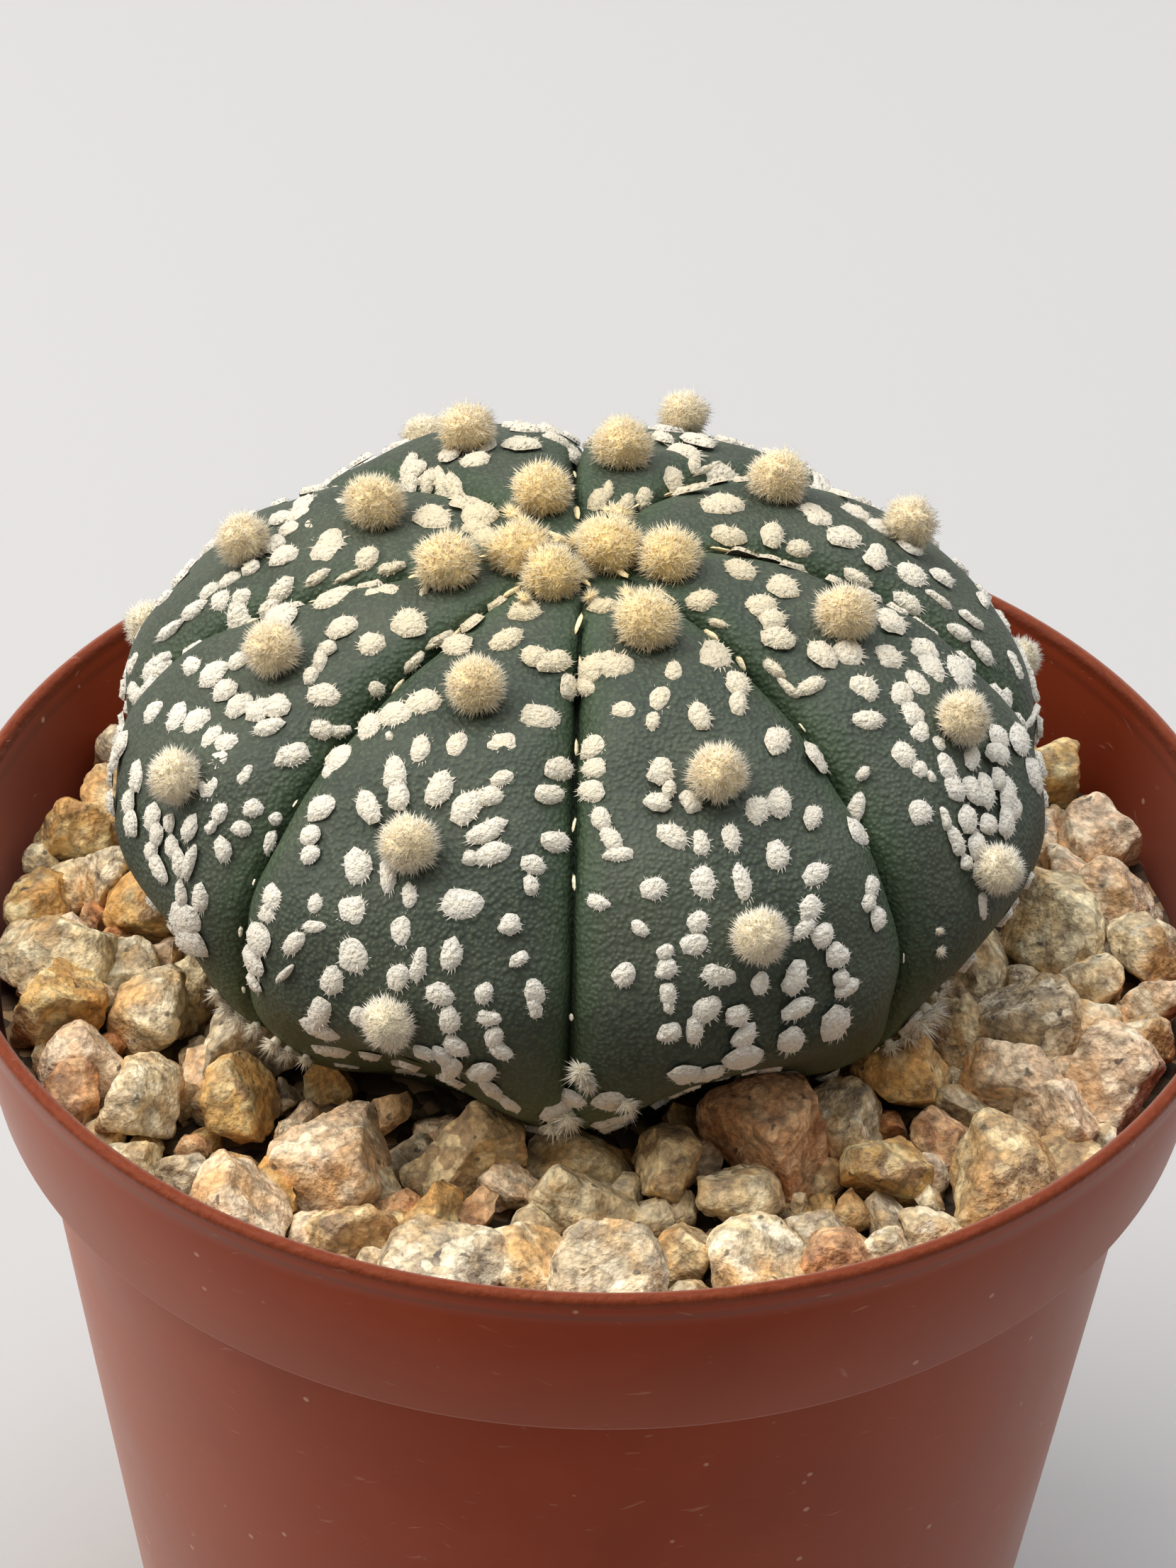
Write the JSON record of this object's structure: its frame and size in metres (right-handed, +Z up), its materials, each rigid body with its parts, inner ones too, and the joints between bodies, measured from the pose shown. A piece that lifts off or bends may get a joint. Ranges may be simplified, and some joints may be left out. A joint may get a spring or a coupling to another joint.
{
  "type": "potted cactus",
  "caption": "Low ribbed cactus with woolly areoles and white flecks, in a round plastic nursery pot with potting mix and a gravel top dressing.",
  "frame": {"origin": "middle of the pot's flat base", "axes": "+Z up along the pot, -Y towards the picture's camera, +X to the picture's right"},
  "size_m": [0.065, 0.065, 0.0773],
  "materials": {
    "pot_plastic": "satin terracotta-brown moulded polypropylene with a worn, lighter lip and faint dust",
    "potting_mix": "dark brown gritty potting mix",
    "gravel_stone": "rough crushed granite and quartz grit, ochre, tan, grey and pink",
    "cactus_skin": "dark green pebbled cactus skin with cream woolly areoles and white hairy flecks"
  },
  "bodies": {
    "root": {"pot": "pot_plastic", "soil": "potting_mix", "gravel": "gravel_stone", "cactus": "cactus_skin"}
  },
  "joints": []
}
